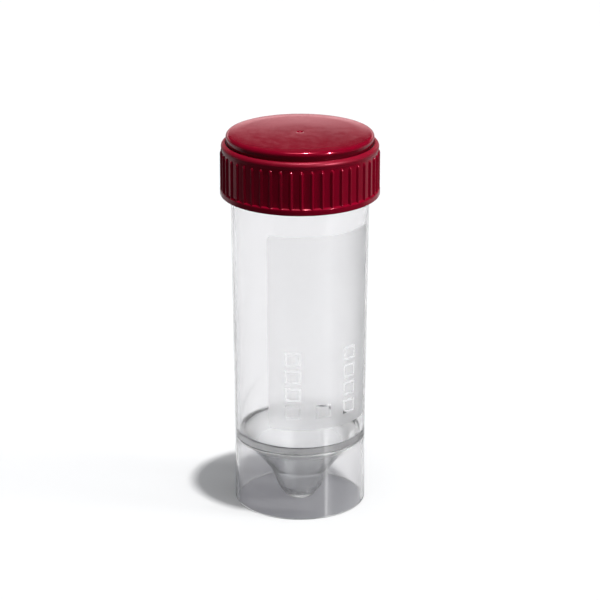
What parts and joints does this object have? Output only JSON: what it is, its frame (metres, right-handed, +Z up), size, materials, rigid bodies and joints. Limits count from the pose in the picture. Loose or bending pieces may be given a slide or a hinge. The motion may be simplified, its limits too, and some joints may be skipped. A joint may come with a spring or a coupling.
{
  "type": "skirted conical specimen tube",
  "caption": "Clear self-standing specimen tube with a conical bottom inside a skirt, a printed writing panel and a ribbed red screw cap with a plug seal.",
  "frame": {"origin": "centre of the foot, on the surface the tube stands on", "axes": "+Z up along the tube's axis, towards the cap; -Y towards the front, with the writing panel's middle 20.4 degrees from it towards +X"},
  "size_m": [0.0328, 0.0328, 0.08],
  "materials": {
    "clear_polypropylene": "gloss",
    "red_polyethylene": "satin",
    "frosted_ink": "matte"
  },
  "bodies": {
    "tube": {"tube": "clear_polypropylene", "writing_panel": "frosted_ink"},
    "cap": {"cap": "red_polyethylene"}
  },
  "joints": [
    {"name": "cap_lift", "type": "slide", "parent": "tube", "child": "cap", "axis": [0, 0, 1], "range_m": [0, 0.026]}
  ]
}
